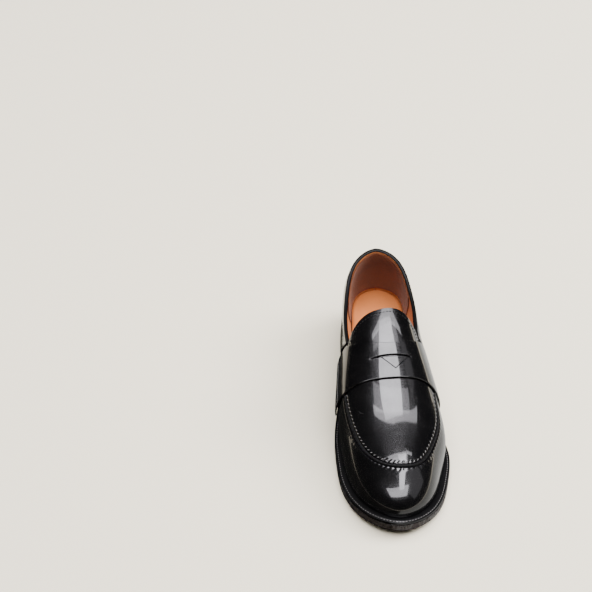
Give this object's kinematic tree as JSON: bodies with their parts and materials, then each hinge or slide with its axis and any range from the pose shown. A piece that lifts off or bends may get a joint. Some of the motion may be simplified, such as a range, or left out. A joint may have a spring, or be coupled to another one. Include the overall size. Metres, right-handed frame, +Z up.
{
  "type": "penny loafer",
  "caption": "Slip-on leather shoe for the right foot, with a raised apron seam, a slotted saddle strap over the instep, a tan lining and a stacked heel.",
  "frame": {"origin": "on the ground under the middle of the shoe's box", "axes": "+Z up, +Y from the toe to the heel, +X towards the inner side of the foot"},
  "size_m": [0.1046, 0.3, 0.0975],
  "materials": {
    "upper": "polished black box calf with a glossy brushed-off finish",
    "binding": "black bead of folded leather, satin",
    "lining": "tan vegetable-tanned calf lining, matt",
    "grip": "brown suede",
    "sock": "smooth light tan leather",
    "welt": "black dyed leather strip, waxed",
    "sole": "leather outsole with dark waxed edge",
    "heel": "stacked leather lifts, dark waxed edge",
    "rubber": "hard black rubber",
    "cork": "ground cork paste",
    "fibre": "leather fibre board",
    "foam": "soft foam pad",
    "steel": "spring steel and steel nails",
    "stiffener": "resin-stiffened cloth"
  },
  "bodies": {
    "root": {"outsole": "sole", "welt": "welt", "heel_rand": "heel", "forefoot_cork": "cork", "heel_seat_filler": "fibre", "shank_board": "fibre", "shank": "steel", "heel_top_piece": "rubber", "heel_lift_1": "heel", "heel_lift_2": "heel", "heel_lift_3": "heel", "insole_board": "fibre", "heel_cushion": "foam", "sock_liner": "sock", "vamp": "upper", "vamp_lining": "lining", "apron": "upper", "apron_lining": "lining", "toe_puff": "stiffener", "quarter_lateral": "upper", "quarter_lining_lateral": "lining", "quarter_medial": "upper", "quarter_lining_medial": "lining", "heel_counter": "stiffener", "topline_tape": "stiffener", "collar_band": "upper", "topline_binding": "binding", "back_strip": "upper", "heel_grip": "grip", "moc_seam_ridge": "upper", "saddle_strap": "upper", "heel_nail_1": "steel", "heel_nail_2": "steel", "heel_nail_3": "steel", "heel_nail_4": "steel", "heel_nail_5": "steel", "heel_nail_6": "steel"}
  },
  "joints": []
}
